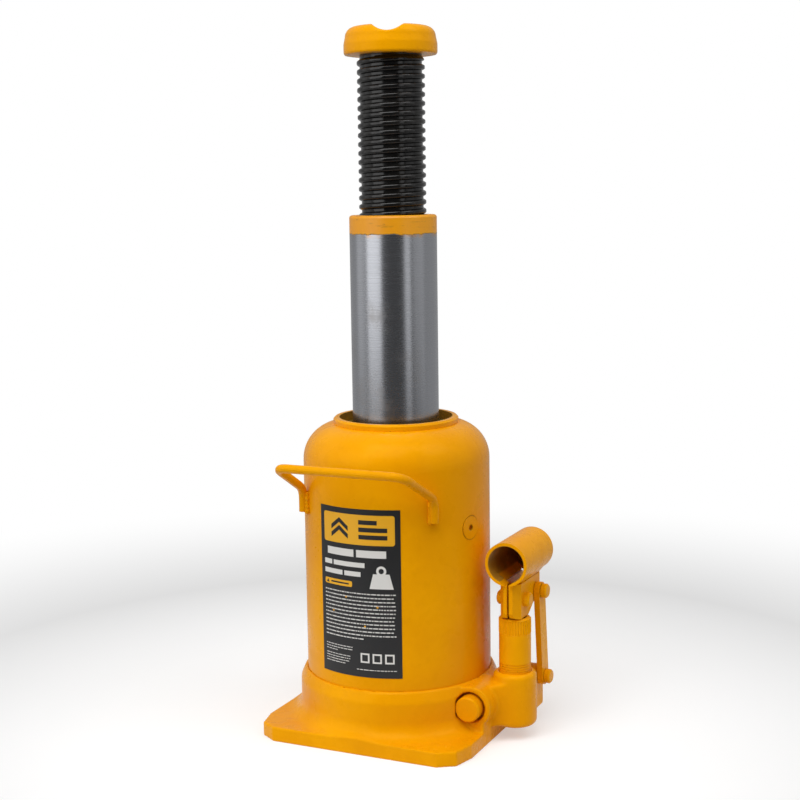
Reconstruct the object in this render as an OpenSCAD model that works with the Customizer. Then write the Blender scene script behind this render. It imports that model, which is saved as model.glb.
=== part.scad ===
// Hydraulic bottle jack with a hand pump, a lifting ram and a screw-out saddle.
// Z is up, the ram axis is the Z axis, the base rests on Z = 0, and the
// operator stands on the -Y side. The hand pump is on the +X side.
// The ram and the screw are drawn fully out.

/* [Base] */
// Width of the base plate, along X
plate_w = 154; // [150:1:165]
// Depth of the base plate, along Y
plate_d = 152; // [148:1:165]
// Thickness of the plate at its edge
plate_t = 10; // [8:0.5:12]
// Radius of the round hub that carries the tank
hub_r = 70; // [69:0.5:72]
// Height of the hub's vertical wall
hub_h = 34.5; // [32:0.5:37]

/* [Tank and cylinder] */
// Outer radius of the oil tank
tank_r = 65; // [64:0.5:66]
// Wall of the oil tank
tank_wall = 4; // [3:0.5:5]
// Height of the tank's rim
rim_z = 219.5; // [215:0.5:225]
// Bore radius of the pressure cylinder
bore_r = 33.5; // [33:0.1:34]

/* [Ram and screw] */
// Radius of the ram
ram_r = 30; // [29.9:0.02:30]
// Height of the ram's top when it is fully out
ram_top = 358.5; // [354:0.5:360]
// Crest radius of the extension screw
screw_r = 23; // [22.5:0.1:23.1]
// Pitch of the extension screw
pitch = 6; // [6:0.5:7]
// Underside of the saddle when it is fully out
saddle_z = 465.5; // [462:0.5:468]
// Radius of the saddle
saddle_r = 31.7; // [31:0.1:34]
// Height of the saddle
saddle_h = 18.5; // [18:0.5:22]

/* [Hand pump] */
// Distance from the ram axis to the pump axis
pump_x = 88; // [87:0.5:90]
// Top of the pump cylinder
pump_top = 85; // [83:0.5:86]
// Bore radius of the pump
pump_bore = 6; // [6:0.05:6.05]
// Inner radius of the handle socket
socket_r = 12.7; // [12.5:0.1:13]
// Outer radius of the handle socket
socket_out_r = 15; // [14.9:0.1:15.2]

/* [Hidden] */
$fn = 64;
eps = 0.01;

// Base
corner_x = 15;
corner_y = 23;
corner_cut_x = 4;
corner_cut_y = 7;
flare_r = 11;
hub_low = plate_t + flare_r;
hub_top = hub_h + 8;
well_z = 26;
well_r = tank_r - tank_wall - 0.2;
seat_z = 21;
seat_r = 38.6;
seat_wall_r = 43;
seat_wall_top = 34;
ledge_z = 36;
gasket_t = 1.5;

// Tank
tank_z = ledge_z + gasket_t;
neck_r = 40;
shoulder_r = tank_r - neck_r;
lip_h = 4;
lip_out_r = 43.6;
mouth_r = 39.3;
shoulder_z = rim_z - lip_h - shoulder_r;
filler_angle = 75;
filler_z = 148.5;
filler_r = 7.8;

// Cylinder head
nut_z = 203;
nut_top = 213.5;
nut_skirt_z = 191;
nut_bore_r = ram_r + 0.25;
nut_recess_r = 35;
wiper_z = 204.5;
wiper_top = 208.5;
wiper_r = 34;
cylinder_r = seat_r;

// Ram
ram_bottom = 168;
ram_land_z = 184;
ram_land_r = 27;
ram_bore_r = 23.4;
ram_bore_z = 200;
seal_z = 164;
ring_z = 172;
retainer_t = 4;
retainer_r = 28;
stud_r = 8;
stud_top = 180;

// Screw and saddle
root_r = 21.1;
screw_bottom = saddle_z - 25 * pitch;
spigot_r = 15;
spigot_h = 11.5;
ring_groove_r = 19.5;
ring_groove_z = screw_bottom + 2;
stop_ring_t = 2;
notch_r = 14;
notch_depth = 4.8;
notch_turn = 21;
saddle_edge_r = 7;

// Carry handle
rod_r = 3;
bar_half = 46;
bar_y = -89;
bar_z = 195;
handle_angle = 46.5;
leg_top = 173;
leg_bottom = 157;
leg_reach = tank_r + rod_r + 0.02;
bend_r = 9;
leg_bend = 7;

// Label
label_angle = 54;
label_z = 50.9;
label_h = 115.3;
label_t = 0.25;

// Pump
boss_r = 15;
boss_z = 9;
boss_top = 47;
boss_round = 4;
pump_r = 11;
pump_floor = 20;
knurl_teeth = 36;
knurl_h = 11;
piston_clear = 0.05;
piston_low = 26;
piston_r = pump_bore - piston_clear;
head_half = 4.7;
head_r = 6.2;
head_neck = 14.6;
head_block = 11;
ring_slot_z = piston_low + 3;
ring_slot_h = 2;
ring_slot_r = piston_r - 1.2;
packing_r = pump_bore + 2;
packing_z = pump_top - 6;
pin_z = 97.6;
pin_r = 3.5;
pin_head_r = 5;
pin_head_t = 4;
piston_pin_head_t = 4.4;
pin_clear = 0.05;
link_y = 21.9;
link_z = 98.7;
base_pin_y = 29.1;
base_pin_z = 35.1;
lug_r = 8;
link_t = 4;
link_gap = 0.4;
link_w = 12;
open_pivot_clear = 1.3;
ear_out = 7.5;
ear_in = 5;
socket_z = 125;
socket_front = -17;
socket_back = 36;
ear_low = 85.6;
ear_back = 29;
ear_heel = 6.8;
socket_stop_t = 2;
skirt_flank = 0.86;
skirt_out = 7.65;
skirt_in = 6.5;
skirt_wall = 2.5;

// Valves
valve_x = 67;
valve_z = 27;
valve_face = -37;
valve_r = 8.75;
valve_boss_r = 14.5;
valve_boss_y = -31;
valve_bore_r = 6;
valve_pocket_r = valve_r + 1.6;
valve_pocket_y = valve_boss_y + 6;
seal_slot_r = valve_bore_r - 1.5;
seal_slot_y = -27;
gallery_r = 3.1;
gallery_z = 15;
ball_r = 3;
overload_x = 45;
overload_y = 30;
overload_r = 5;
overload_depth = 21;

// A ring turned about the Z axis
module ring(r_in, r_out, z0, z1) {
    translate([0, 0, z0]) difference() {
        cylinder(r = r_out, h = z1 - z0);
        translate([0, 0, -1]) cylinder(r = r_in, h = z1 - z0 + 2);
    }
}

// A cylinder along X, centred on a point
module rod_x(r, len, at) {
    translate(at) rotate([0, 90, 0]) cylinder(r = r, h = len, center = true);
}

// A cylinder along Y, from y0 to y1
module rod_y(r, x, z, y0, y1) {
    translate([x, y0, z]) rotate([-90, 0, 0]) cylinder(r = r, h = y1 - y0);
}

// A point on the tank's side, at an angle from the front towards +X
function around(radius, angle, z) = [radius * sin(angle), -radius * cos(angle), z];

// A small coil spring standing on Z = 0
module coil(r, wire_r, height, turns) {
    sides = 8;
    steps = turns * 14;
    pts = [for (i = [0:steps], k = [0:sides - 1])
        let (a = 360 * i * turns / steps, b = 360 * k / sides, rr = r + wire_r * cos(b))
        [rr * cos(a), rr * sin(a),
         wire_r + (height - 2 * wire_r) * i / steps + wire_r * sin(b)]];
    walls = [for (i = [0:steps - 1], k = [0:sides - 1])
        let (n = (k + 1) % sides)
        [i * sides + k, i * sides + n, (i + 1) * sides + n, (i + 1) * sides + k]];
    caps = [[for (k = [sides - 1:-1:0]) k], [for (k = [0:sides - 1]) steps * sides + k]];
    polyhedron(points = pts, faces = concat(walls, caps), convexity = 6);
}

module plate_outline() {
    hx = plate_w / 2;
    hy = plate_d / 2;
    polygon([
        [-hx + corner_x, -hy], [hx - corner_x, -hy],
        [hx - corner_cut_x, -hy + corner_cut_y], [hx, -hy + corner_y],
        [hx, hy - corner_y], [hx - corner_cut_x, hy - corner_cut_y],
        [hx - corner_x, hy], [-hx + corner_x, hy],
        [-hx + corner_cut_x, hy - corner_cut_y], [-hx, hy - corner_y],
        [-hx, -hy + corner_y], [-hx + corner_cut_x, -hy + corner_cut_y]]);
}

// The hub's half section, with a concave flare down to the plate
module hub_section() {
    difference() {
        union() {
            square([hub_r, hub_h]);
            polygon([[0, hub_h], [hub_r, hub_h], [tank_r + 2, hub_top - 1.2],
                [tank_r, hub_top], [0, hub_top]]);
            square([hub_r + flare_r, hub_low]);
            square([plate_w, plate_t]);
        }
        translate([hub_r + flare_r, hub_low]) circle(r = flare_r);
        translate([hub_r + flare_r, plate_t]) square([plate_w, 2 * flare_r]);
    }
}

module pump_boss() {
    translate([pump_x, 0, 0]) rotate_extrude() difference() {
        translate([0, boss_z]) square([boss_r, boss_top - boss_z]);
        difference() {
            translate([boss_r - boss_round, boss_z - 1]) square([boss_round + 1, boss_round + 1]);
            translate([boss_r - boss_round, boss_z + boss_round]) circle(r = boss_round);
        }
        translate([boss_r, boss_top]) rotate(45) square(3, center = true);
    }
    hull() {
        translate([pump_x, 0, boss_z + 3]) cylinder(r = boss_r - 0.3, h = 29, $fn = 32);
        translate([48, -27, boss_z]) cube([4, 54, hub_h - boss_z]);
    }
}

// Lug at the back of the pump boss that carries the link's lower pin
module link_lug() {
    low = boss_z + 3;
    rod_x(lug_r, 2 * ear_out, [pump_x, base_pin_y, base_pin_z]);
    translate([pump_x - ear_out, lug_r, low])
        cube([2 * ear_out, base_pin_y, base_pin_z - low]);
}

module valve_boss() {
    rod_y(valve_boss_r, valve_x, valve_z, valve_boss_y, 0);
    translate([valve_x - valve_boss_r, valve_boss_y, 3])
        cube([2 * valve_boss_r - 4.6, -valve_boss_y, valve_z - 3]);
}

module base_casting() {
    color([0.96, 0.66, 0.05]) difference() {
        union() {
            intersection() {
                rotate_extrude($fn = 96) hub_section();
                linear_extrude(height = hub_top) union() {
                    plate_outline();
                    circle(r = hub_r);
                }
            }
            pump_boss();
            link_lug();
            valve_boss();
        }
        // Seat for the tank, with its ledge
        translate([0, 0, ledge_z]) cylinder(r = tank_r, h = hub_top);
        // Oil well round the pressure cylinder's seat
        difference() {
            translate([0, 0, well_z]) cylinder(r = well_r, h = hub_top);
            cylinder(r = seat_wall_r, h = seat_wall_top);
        }
        translate([0, 0, seat_z]) cylinder(r = seat_r, h = hub_top);
        // Pump bore, its inlet seat and the gallery to the pressure cylinder
        translate([pump_x, 0, pump_floor]) cylinder(r = pump_r, h = boss_top);
        translate([pump_x, 0, gallery_z - ball_r]) cylinder(r = gallery_r, h = pump_floor);
        translate([28, 0, gallery_z]) rotate([0, 90, 0])
            cylinder(r = gallery_r, h = pump_x - 28);
        translate([30, 0, gallery_z]) cylinder(r = 2.5, h = seat_z);
        // Release valve bore, and the pocket round its head
        rod_y(valve_bore_r, valve_x, valve_z, valve_face, -14);
        rod_y(2, valve_x, valve_z, -15, -4);
        rod_y(valve_pocket_r, valve_x, valve_z, valve_face, valve_pocket_y);
        // Overload valve bore, from below
        translate([overload_x, overload_y, -1]) cylinder(r = overload_r, h = overload_depth + 1);
        // Hole for the link's lower pin
        rod_x(pin_r, 4 * ear_out, [pump_x, base_pin_y, base_pin_z]);
    }
}

// Outline of the tank: straight side, round shoulder, neck and rolled rim
module tank_outer() {
    translate([0, tank_z]) square([tank_r, shoulder_z - tank_z]);
    translate([0, tank_z]) square([neck_r, rim_z - lip_h - tank_z]);
    intersection() {
        translate([neck_r, shoulder_z]) circle(r = shoulder_r, $fn = 128);
        translate([neck_r, shoulder_z]) square(shoulder_r);
    }
    lip_z = rim_z - lip_h;
    polygon([[0, lip_z - 1.5], [lip_out_r - 1, lip_z - 1.5], [lip_out_r, lip_z],
        [lip_out_r, rim_z - 1.3], [lip_out_r - 1.3, rim_z], [0, rim_z]]);
}

module tank_inner() {
    inner_r = tank_r - tank_wall;
    translate([0, tank_z - 1]) square([inner_r, shoulder_z - tank_z + 1]);
    intersection() {
        translate([neck_r, shoulder_z]) circle(r = shoulder_r - tank_wall, $fn = 128);
        translate([0, shoulder_z]) square([inner_r, nut_z - shoulder_z]);
    }
    translate([0, shoulder_z]) square([neck_r, nut_z - shoulder_z]);
    square([mouth_r, rim_z + 1]);
}

module oil_tank() {
    color([0.96, 0.66, 0.05]) difference() {
        rotate_extrude($fn = 128) difference() {
            tank_outer();
            tank_inner();
        }
        translate([0, 0, filler_z]) rotate([90, 0, filler_angle])
            translate([0, 0, tank_r - 10]) cylinder(r = filler_r, h = 20);
    }
}

module tank_gasket() {
    color([0.12, 0.12, 0.12]) ring(tank_r - tank_wall, tank_r, ledge_z, tank_z);
}

module pressure_cylinder() {
    color([0.62, 0.63, 0.65]) ring(bore_r, cylinder_r, seat_z + 1, nut_z);
}

module cylinder_gasket() {
    color([0.72, 0.45, 0.25]) ring(bore_r, cylinder_r, seat_z, seat_z + 1);
}

module top_nut() {
    color([0.80, 0.60, 0.15]) rotate_extrude($fn = 96) difference() {
        union() {
            translate([0, nut_skirt_z]) square([bore_r, nut_z - nut_skirt_z]);
            polygon([[0, nut_z], [mouth_r, nut_z], [mouth_r, nut_top - 1],
                [mouth_r - 1, nut_top], [0, nut_top]]);
        }
        square([nut_bore_r, nut_top + 1]);
        translate([0, wiper_z]) square([wiper_r, wiper_top - wiper_z]);
        translate([0, wiper_top]) square([nut_recess_r, nut_top]);
    }
}

module rod_wiper() {
    color([0.08, 0.08, 0.09]) ring(ram_r + 0.05, wiper_r, wiper_z, wiper_top);
}

// Points of a quadratic curve that rounds the corner c between a and b
function rounded(a, c, b, steps) = [for (i = [0:steps])
    let (t = i / steps) (1 - t) * (1 - t) * a + 2 * t * (1 - t) * c + t * t * b];

function unit(v) = v / norm(v);

// Centre line of the handle from the bar's middle to one foot; side is 1 or -1
function handle_line(side) =
    let (
        top = around(leg_reach, side * handle_angle, leg_top),
        foot = around(leg_reach, side * handle_angle, leg_bottom),
        bend = [side * bar_half, bar_y, bar_z],
        arm = unit(top - bend))
    concat(
        rounded(bend - [side * bend_r, 0, 0], bend, bend + bend_r * arm, 8),
        rounded(top - leg_bend * arm, top, top - [0, 0, leg_bend], 6),
        [foot]);

// A round rod swept along a line of points
module swept_rod(line, r, sides) {
    last = len(line) - 1;
    tilt = [0, 0.45, 0.89];
    pts = [for (i = [0:last])
        let (
            t = unit(line[min(i + 1, last)] - line[max(i - 1, 0)]),
            b = unit(cross(t, tilt)),
            n = cross(b, t))
        for (k = [0:sides - 1])
            line[i] + r * (cos(360 * k / sides) * b + sin(360 * k / sides) * n)];
    walls = [for (i = [0:last - 1], k = [0:sides - 1])
        let (n = (k + 1) % sides)
        [i * sides + k, (i + 1) * sides + k, (i + 1) * sides + n, i * sides + n]];
    caps = [[for (k = [0:sides - 1]) k], [for (k = [sides - 1:-1:0]) last * sides + k]];
    polyhedron(points = pts, faces = concat(walls, caps), convexity = 8);
}

module carry_handle() {
    left = handle_line(-1);
    line = concat([for (i = [len(left) - 1:-1:0]) left[i]], handle_line(1));
    color([0.96, 0.66, 0.05]) swept_rod(line, rod_r, 16);
}

module filler_plug() {
    color([0.85, 0.58, 0.05]) translate([0, 0, filler_z]) rotate([90, 0, filler_angle])
        difference() {
            union() {
                translate([0, 0, tank_r - 8]) cylinder(r = filler_r, h = 8.1);
                translate([0, 0, tank_r - 9]) cylinder(r = filler_r - 1, h = 2);
            }
            translate([0, 0, tank_r - 3]) cylinder(r = 1.8, h = 5);
        }
}

module label_plate() {
    color([0.07, 0.07, 0.08]) rotate([0, 0, -90 - label_angle / 2])
        rotate_extrude(angle = label_angle, $fn = 128)
            translate([tank_r, label_z]) square([label_t, label_h]);
}

module pump_cylinder() {
    color([0.90, 0.58, 0.05]) translate([pump_x, 0, 0]) difference() {
        union() {
            translate([0, 0, pump_floor]) cylinder(r = pump_r, h = pump_top - knurl_h - pump_floor);
            translate([0, 0, pump_top - knurl_h]) linear_extrude(height = knurl_h - 1)
                polygon([for (i = [0:2 * knurl_teeth - 1])
                    let (a = 180 * i / knurl_teeth, r = pump_r + 0.15 - (i % 2) * 0.65)
                    [r * cos(a), r * sin(a)]]);
            translate([0, 0, pump_top - 1 - eps]) cylinder(r1 = pump_r, r2 = pump_r - 1, h = 1 + eps);
        }
        for (i = [0:3]) translate([0, 0, boss_top + 0.8 + 1.6 * i])
            ring(pump_r - 0.5, pump_r + 1, 0, 0.8);
        translate([0, 0, pump_floor - 1]) cylinder(r = pump_bore, h = pump_top);
        translate([0, 0, packing_z]) cylinder(r = packing_r, h = pump_top);
    }
}

module pump_packing() {
    color([0.10, 0.10, 0.10]) translate([pump_x, 0, 0])
        ring(pump_bore, packing_r, packing_z, pump_top - 2);
}

module inlet_ball() {
    color("silver") translate([pump_x, 0, gallery_z]) sphere(r = ball_r);
}

module outlet_ball() {
    color("silver") translate([56, 0, gallery_z]) sphere(r = ball_r);
}

module outlet_spring() {
    color("silver") translate([53, 0, gallery_z]) rotate([0, -90, 0]) coil(2.3, 0.5, 14, 5);
}

module overload_screw() {
    color([0.25, 0.25, 0.27]) translate([overload_x, overload_y, 0.5]) difference() {
        cylinder(r = overload_r, h = 7);
        translate([-0.6, -overload_r - 1, -1]) cube([1.2, 2 * overload_r + 2, 2.2]);
    }
}

module overload_spring() {
    color("silver") translate([overload_x, overload_y, 7.5]) coil(3.4, 0.7, 6.5, 3);
}

module overload_ball() {
    color("silver") translate([overload_x, overload_y, overload_depth - ball_r - 1])
        sphere(r = ball_r + 1);
}

module suction_filter() {
    color([0.75, 0.72, 0.60]) translate([0, 52, well_z]) difference() {
        cylinder(r = 6, h = 2);
        translate([0, 0, 1]) cylinder(r = 4.5, h = 2);
    }
}

// A headed cross pin along X: the head is on both ends, riveted over
module cross_pin(at, grip, head_t) {
    rod_x(pin_r, grip + 2 * head_t - 1, at);
    for (side = [-1, 1]) translate(at) rotate([0, side * 90, 0])
        translate([0, 0, grip / 2]) {
            cylinder(r = pin_head_r, h = head_t - 1);
            translate([0, 0, head_t - 1 - eps])
                cylinder(r1 = pin_head_r, r2 = pin_head_r - 1, h = 1 + eps);
        }
}

link_grip = 2 * (ear_out + link_gap + link_t + link_gap);

module link_base_pin() {
    color([0.93, 0.62, 0.05])
        cross_pin([pump_x, base_pin_y, base_pin_z], link_grip, pin_head_t);
}

module release_ball() {
    color("silver") translate([valve_x, -14 - ball_r, valve_z]) sphere(r = ball_r);
}

module ram() {
    edge = 1.6;
    color([0.66, 0.67, 0.70]) rotate_extrude($fn = 128) difference() {
        polygon([[0, ram_bottom], [ram_land_r, ram_bottom], [ram_land_r, ram_land_z],
            [ram_r, ram_land_z], [ram_r, ram_top - edge], [ram_r - 0.5, ram_top - 0.5],
            [ram_r - edge, ram_top], [0, ram_top]]);
        translate([0, ram_bore_z]) square([ram_bore_r, ram_top]);
        translate([0, ram_bottom - 1]) square([stud_r, stud_top - ram_bottom + 1]);
    }
}

module ram_guide_ring() {
    color([0.72, 0.55, 0.30]) ring(ram_land_r, bore_r - 0.08, ring_z, ram_land_z);
}

module ram_cup_seal() {
    color([0.10, 0.10, 0.11]) ring(ram_land_r, bore_r - 0.05, seal_z, ring_z);
    color([0.10, 0.10, 0.11]) ring(retainer_r - 4, ram_land_r, seal_z, ram_bottom);
}

module ram_seal_retainer() {
    color([0.45, 0.46, 0.48]) translate([0, 0, seal_z - retainer_t]) {
        cylinder(r = retainer_r, h = retainer_t);
        cylinder(r = retainer_r - 4, h = ram_bottom - seal_z + retainer_t);
        cylinder(r = stud_r, h = stud_top - seal_z + retainer_t);
    }
}

module screw_stop_ring() {
    color([0.30, 0.30, 0.32]) ring(ring_groove_r, ram_bore_r - 0.1, ring_groove_z,
        ring_groove_z + stop_ring_t);
}

// Half section of the screw: rounded ridges, one to each turn of the thread
module screw_section() {
    turns = 24;
    start = screw_bottom + pitch;
    ridges = [for (i = [0:turns - 2]) let (z = start + i * pitch) each
        [[root_r, z], [root_r, z + 0.9], [screw_r - 0.4, z + 1.9], [screw_r, z + 2.4],
         [screw_r, z + 4.6], [screw_r - 0.4, z + 5.1]]];
    neck = start + (turns - 1) * pitch;
    polygon(concat(
        [[0, screw_bottom], [root_r, screw_bottom], [root_r, ring_groove_z - 0.1],
         [ring_groove_r, ring_groove_z - 0.1], [ring_groove_r, ring_groove_z + stop_ring_t + 0.1],
         [root_r, ring_groove_z + stop_ring_t + 0.1]],
        ridges,
        [[root_r, neck], [root_r, saddle_z], [spigot_r, saddle_z],
         [spigot_r, saddle_z + spigot_h], [0, saddle_z + spigot_h]]));
}

module extension_screw() {
    color([0.12, 0.12, 0.13]) rotate_extrude($fn = 96) screw_section();
}

module saddle_section() {
    top = saddle_z + saddle_h;
    edge = saddle_r - saddle_edge_r - 1;
    difference() {
        union() {
            polygon([[0, saddle_z], [saddle_r - 0.8, saddle_z], [saddle_r, saddle_z + 0.8],
                [saddle_r, saddle_z + 7], [edge + saddle_edge_r, top - saddle_edge_r],
                [edge, top - saddle_edge_r], [edge, top], [0, top]]);
            translate([edge, top - saddle_edge_r]) intersection() {
                circle(r = saddle_edge_r);
                square(saddle_edge_r);
            }
        }
        translate([0, saddle_z - 1]) square([spigot_r, spigot_h + 1]);
    }
}

module saddle() {
    color([0.96, 0.66, 0.05]) difference() {
        rotate_extrude($fn = 96) saddle_section();
        rotate([0, 0, notch_turn])
            translate([0, 0, saddle_z + saddle_h + notch_r - notch_depth])
                rotate([90, 0, 0]) cylinder(r = notch_r, h = 3 * saddle_r, center = true);
    }
}

module pump_piston() {
    color([0.90, 0.60, 0.06]) difference() {
        union() {
            translate([pump_x, 0, piston_low])
                cylinder(r = piston_r, h = pin_z - head_neck - piston_low);
            translate([pump_x, 0, pin_z - head_neck]) cylinder(r = head_half, h = head_neck);
            rod_x(head_r, 2 * head_half, [pump_x, 0, pin_z]);
            translate([pump_x - head_half, -head_r, pin_z - head_block])
                cube([2 * head_half, 2 * head_r, head_block]);
        }
        rod_x(pin_r + pin_clear, 4 * head_half, [pump_x, 0, pin_z]);
        translate([pump_x, 0, 0])
            ring(ring_slot_r, piston_r + 1, ring_slot_z, ring_slot_z + ring_slot_h);
    }
}

module pump_piston_ring() {
    color([0.10, 0.10, 0.10]) translate([pump_x, 0, 0])
        ring(ring_slot_r, piston_r, ring_slot_z, ring_slot_z + ring_slot_h);
}

// Section of the socket: a tube that closes downwards to a given half width
module socket_section(half) {
    low = ear_low + 25 - socket_z;
    difference() {
        union() {
            circle(r = socket_out_r, $fn = 96);
            polygon([[-socket_out_r * skirt_flank, -skirt_out],
                [socket_out_r * skirt_flank, -skirt_out], [half, low], [-half, low]]);
        }
        circle(r = socket_r, $fn = 96);
        polygon([[-socket_r * skirt_flank, -skirt_in], [socket_r * skirt_flank, -skirt_in],
            [half - skirt_wall, low - 1], [-half + skirt_wall, low - 1]]);
    }
}

// Plan of one ear: parallel beside the piston head, and pinched in at the front
module ear_plan() {
    polygon([[0.7, -13.5], [3.2, -13.5], [ear_out, -7.5], [ear_out, ear_back],
        [ear_in, ear_back], [ear_in, -6.5], [0.7, -11.8]]);
}

// Side profile of the ears, round at the lower front corner and at the link pin
module ear_profile() {
    union() {
        polygon([[-13.5, ear_low + 4], [-12, ear_low + 1.2], [-9, ear_low], [ear_heel, ear_low],
            [16, link_z - 7.2], [link_y + 5, link_z - 5], [link_y + 7, link_z],
            [ear_back, socket_z - 8], [-13.5, socket_z - 8]]);
        translate([link_y, link_z]) circle(r = 7);
    }
}

module ears() {
    intersection() {
        translate([pump_x, 0, ear_low - 1]) linear_extrude(height = 25.5) union() {
            ear_plan();
            mirror([1, 0]) ear_plan();
        }
        translate([pump_x - 20, 0, 0]) rotate([90, 0, 90]) linear_extrude(height = 40)
            ear_profile();
    }
}

module handle_socket() {
    split_y = -7.5;
    color([0.96, 0.66, 0.05]) difference() {
        union() {
            translate([pump_x, split_y, socket_z]) rotate([90, 0, 0])
                linear_extrude(height = split_y - socket_front) socket_section(3.4);
            translate([pump_x, ear_back, socket_z]) rotate([90, 0, 0])
                linear_extrude(height = ear_back - split_y) socket_section(ear_out);
            ears();
            // Behind the ears the tube is whole, with a plate that stops the lever
            rod_y(socket_out_r, pump_x, socket_z, ear_back, socket_back, $fn = 96);
        }
        rod_y(socket_r, pump_x, socket_z, ear_back, socket_back - socket_stop_t, $fn = 96);
        rod_x(pin_r, 30, [pump_x, 0, pin_z]);
        rod_x(pin_r, 30, [pump_x, link_y, link_z]);
    }
}

module piston_pin() {
    color([0.93, 0.62, 0.05]) cross_pin([pump_x, 0, pin_z], 2 * ear_out, piston_pin_head_t);
}

module link_top_pin() {
    color([0.93, 0.62, 0.05]) cross_pin([pump_x, link_y, link_z], link_grip, pin_head_t);
}

// One bar of the link, centred on x, with an easy upper hole
module link_bar(x) {
    difference() {
        translate([x - link_t / 2, 0, 0]) rotate([90, 0, 90]) linear_extrude(height = link_t)
            union() {
                translate([link_y, link_z]) circle(r = link_w / 2);
                translate([base_pin_y, base_pin_z]) circle(r = link_w / 2);
                d = [base_pin_y - link_y, base_pin_z - link_z];
                n = [-d.y, d.x] / norm(d) * link_w / 2;
                polygon([[link_y, link_z] + n, [base_pin_y, base_pin_z] + n,
                    [base_pin_y, base_pin_z] - n, [link_y, link_z] - n]);
            }
        rod_x(pin_r + open_pivot_clear, 2 * link_t, [x, link_y, link_z]);
        rod_x(pin_r + pin_clear, 2 * link_t, [x, base_pin_y, base_pin_z]);
    }
}

module link_bars() {
    offset_x = ear_out + link_gap + link_t / 2;
    color([0.95, 0.64, 0.05]) for (side = [-1, 1]) link_bar(pump_x + side * offset_x);
}

module release_screw() {
    color([0.95, 0.64, 0.05]) difference() {
        union() {
            rod_y(valve_r, valve_x, valve_z, valve_face + 1, valve_boss_y + 3);
            translate([valve_x, valve_face + 1, valve_z]) rotate([90, 0, 0])
                cylinder(r1 = valve_r, r2 = valve_r - 1, h = 1);
            rod_y(valve_bore_r - 0.08, valve_x, valve_z, valve_boss_y + 2, -21);
            translate([valve_x, -21, valve_z]) rotate([-90, 0, 0])
                cylinder(r1 = 3.5, r2 = 2, h = 1);
        }
        translate([valve_x, seal_slot_y, valve_z]) rotate([-90, 0, 0])
            ring(seal_slot_r, valve_bore_r + 1, 0, 2);
    }
}

module release_oring() {
    color([0.08, 0.08, 0.08]) translate([valve_x, seal_slot_y, valve_z]) rotate([-90, 0, 0])
        ring(seal_slot_r, valve_bore_r - 0.08, 0, 2);
}

base_casting();
oil_tank();
tank_gasket();
pressure_cylinder();
cylinder_gasket();
top_nut();
rod_wiper();
carry_handle();
filler_plug();
label_plate();
pump_cylinder();
pump_packing();
inlet_ball();
outlet_ball();
outlet_spring();
overload_screw();
overload_spring();
overload_ball();
suction_filter();
link_base_pin();
release_ball();
ram();
ram_guide_ring();
ram_cup_seal();
ram_seal_retainer();
screw_stop_ring();
extension_screw();
saddle();
pump_piston();
pump_piston_ring();
handle_socket();
piston_pin();
link_top_pin();
link_bars();
release_screw();
release_oring();
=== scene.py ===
"""Looks for a hydraulic bottle jack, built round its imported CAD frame."""
import math
import random

import bmesh
import bpy
from mathutils import Matrix, Vector


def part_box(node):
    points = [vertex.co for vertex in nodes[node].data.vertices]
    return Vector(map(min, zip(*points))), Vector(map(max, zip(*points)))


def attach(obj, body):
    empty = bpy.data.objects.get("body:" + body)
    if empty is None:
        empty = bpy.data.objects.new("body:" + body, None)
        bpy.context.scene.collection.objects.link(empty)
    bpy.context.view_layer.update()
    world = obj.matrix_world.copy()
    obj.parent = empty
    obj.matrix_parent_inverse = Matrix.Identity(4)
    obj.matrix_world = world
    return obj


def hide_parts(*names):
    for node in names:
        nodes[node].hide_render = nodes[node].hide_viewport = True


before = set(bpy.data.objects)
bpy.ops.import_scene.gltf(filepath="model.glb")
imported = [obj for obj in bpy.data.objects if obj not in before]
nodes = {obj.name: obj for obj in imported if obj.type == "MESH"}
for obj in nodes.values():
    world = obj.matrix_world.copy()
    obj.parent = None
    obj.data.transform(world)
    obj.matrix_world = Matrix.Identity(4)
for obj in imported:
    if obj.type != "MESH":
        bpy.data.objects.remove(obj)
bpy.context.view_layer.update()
random.seed(7)

MM = 0.001

# ---------------------------------------------------------------- measures

TANK_R = (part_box("oil_tank")[1].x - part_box("oil_tank")[0].x) / 2
RAM_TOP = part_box("ram")[1].z
SCREW_LOW, SCREW_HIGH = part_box("extension_screw")
SADDLE_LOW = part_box("saddle")[0]
LABEL_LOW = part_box("label_plate")[0]
HANDLE_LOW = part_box("carry_handle")[0]
SOCKET_LOW, SOCKET_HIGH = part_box("handle_socket")
PLUG_LOW, PLUG_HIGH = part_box("filler_plug")

CAMERA_AZIMUTH = math.radians(25.35)
CAMERA_DISTANCE = 1.0345
CAMERA_HEIGHT = 0.3794
CAMERA_YAW = 0.0029
CAMERA_PITCH = 0.1431
CAMERA_ROLL = -0.0144
CAMERA_LENS = 67.53

PAINT_BAND = 12.6 * MM
TANK_MOUTH_R = 39.6 * MM
LABEL_T = 0.25 * MM
HANDLE_LEG_ANGLE = math.radians(46.5)
THREAD_PITCH = 6 * MM
CREST_R = 23 * MM
ROOT_R = 21.1 * MM
SHANK_R = 15 * MM
STOP_GROOVE_R = 19.5 * MM
SOCKET_OUT_R = 15 * MM
SOCKET_STOP = 1.5 * MM
LEVER_BORE_R = 13.0 * MM
PLUG_ANGLE = math.radians(75)
PLUG_R = 8.1 * MM
PLUG_PIT_R = 2.8 * MM

YELLOW = (0.89, 0.375, 0.0006)
YELLOW_DEEP = (0.76, 0.285, 0.0008)


# ---------------------------------------------------------------- camera

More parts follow.
